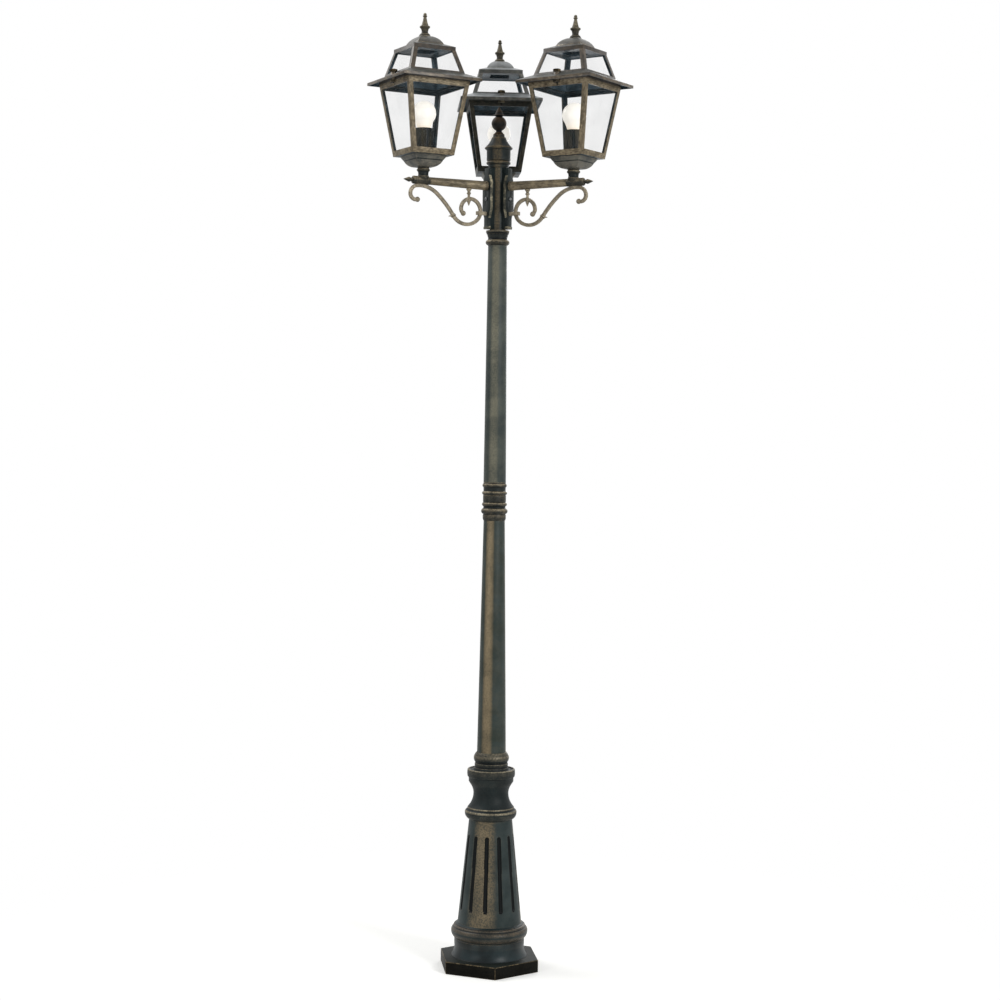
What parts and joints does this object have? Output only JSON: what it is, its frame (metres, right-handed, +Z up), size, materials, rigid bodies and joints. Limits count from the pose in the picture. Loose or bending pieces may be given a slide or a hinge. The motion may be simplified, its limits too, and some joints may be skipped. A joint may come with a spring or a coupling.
{
  "type": "garden lamp post",
  "caption": "Garden lamp post: fluted pedestal, tapered pole and scrolled arms, each with a four-sided glazed lantern under a hinged roof.",
  "frame": {"origin": "centre of the anchor bolt circle, at ground level on the post's axis", "axes": "+Z up along the post, +Y along the back arm"},
  "size_m": [0.6632, 0.5819, 2.4001],
  "materials": {
    "casting": "cast, satin green-black lacquer brushed with old gold",
    "tube": "drawn tube, satin green-black lacquer brushed with old gold",
    "zinc_steel": "zinc plated",
    "stainless": "satin",
    "nickel_brass": "nickel plated",
    "moulded_black": "ribbed phenolic moulding",
    "lead": "matt sheath",
    "clear_glass": "clear sheet",
    "opal_glass": "opal, lit"
  },
  "bodies": {
    "post": {"hex_foot": "casting", "fluted_pedestal": "casting", "cup_collar": "casting", "lower_pole": "tube", "mid_coupling": "casting", "upper_pole": "tube", "hub_socket": "casting", "hub_tube": "tube", "hub_cap": "casting", "hub_finial": "casting", "anchor_plate": "zinc_steel", "tie_rod": "zinc_steel", "tie_rod_nut": "zinc_steel", "terminal_block": "moulded_black", "lamp_leads": "lead", "bracket_screws": "stainless", "arm_spears": "casting", "hinge_pins": "stainless", "lamp_holders": "moulded_black", "holder_covers": "moulded_black", "bulb_caps": "nickel_brass", "arm_left": "tube", "arm_bracket_left": "casting", "scroll_left": "casting", "lantern_stem_left": "casting", "lantern_bowl_left": "casting", "lantern_cage_left": "casting", "lower_panes_left": "clear_glass", "bulb_left": "opal_glass", "arm_right": "tube", "arm_bracket_right": "casting", "scroll_right": "casting", "lantern_stem_right": "casting", "lantern_bowl_right": "casting", "lantern_cage_right": "casting", "lower_panes_right": "clear_glass", "bulb_right": "opal_glass", "arm_back": "tube", "arm_bracket_back": "casting", "scroll_back": "casting", "lantern_stem_back": "casting", "lantern_bowl_back": "casting", "lantern_cage_back": "casting", "lower_panes_back": "clear_glass", "bulb_back": "opal_glass"},
    "roof_left": {"roof_frame_left": "casting", "upper_panes_left": "clear_glass", "roof_cap_left": "casting", "roof_finial_left": "casting"},
    "screw_left": {"thumb_screw_left": "casting"},
    "roof_right": {"roof_frame_right": "casting", "upper_panes_right": "clear_glass", "roof_cap_right": "casting", "roof_finial_right": "casting"},
    "screw_right": {"thumb_screw_right": "casting"},
    "roof_back": {"roof_frame_back": "casting", "upper_panes_back": "clear_glass", "roof_cap_back": "casting", "roof_finial_back": "casting"},
    "screw_back": {"thumb_screw_back": "casting"}
  },
  "joints": [
    {"name": "roof_left_hinge", "type": "hinge", "parent": "post", "child": "roof_left", "pos_m": [-0.10781, -0.06493, 2.2271], "axis": [-0.4772, 0.8788, 0], "range_deg": [0, 85]},
    {"name": "screw_left_turn", "type": "hinge", "parent": "roof_left", "child": "screw_left", "pos_m": [-0.26002, -0.14758, 2.2471], "axis": [0, 0, 1], "continuous": true},
    {"name": "roof_right_hinge", "type": "hinge", "parent": "post", "child": "roof_right", "pos_m": [0.23514, -0.03318, 2.2271], "axis": [-0.8339, 0.5519, 0], "range_deg": [0, 85]},
    {"name": "screw_right_turn", "type": "hinge", "parent": "roof_right", "child": "screw_right", "pos_m": [0.13955, -0.17761, 2.2471], "axis": [0, 0, 1], "continuous": true},
    {"name": "roof_back_hinge", "type": "hinge", "parent": "post", "child": "roof_back", "pos_m": [-0.00543, 0.30363, 2.2271], "axis": [-0.9981, -0.061, 0], "range_deg": [0, 85]},
    {"name": "screw_back_turn", "type": "hinge", "parent": "roof_back", "child": "screw_back", "pos_m": [0.00514, 0.13076, 2.2471], "axis": [0, 0, 1], "continuous": true}
  ]
}
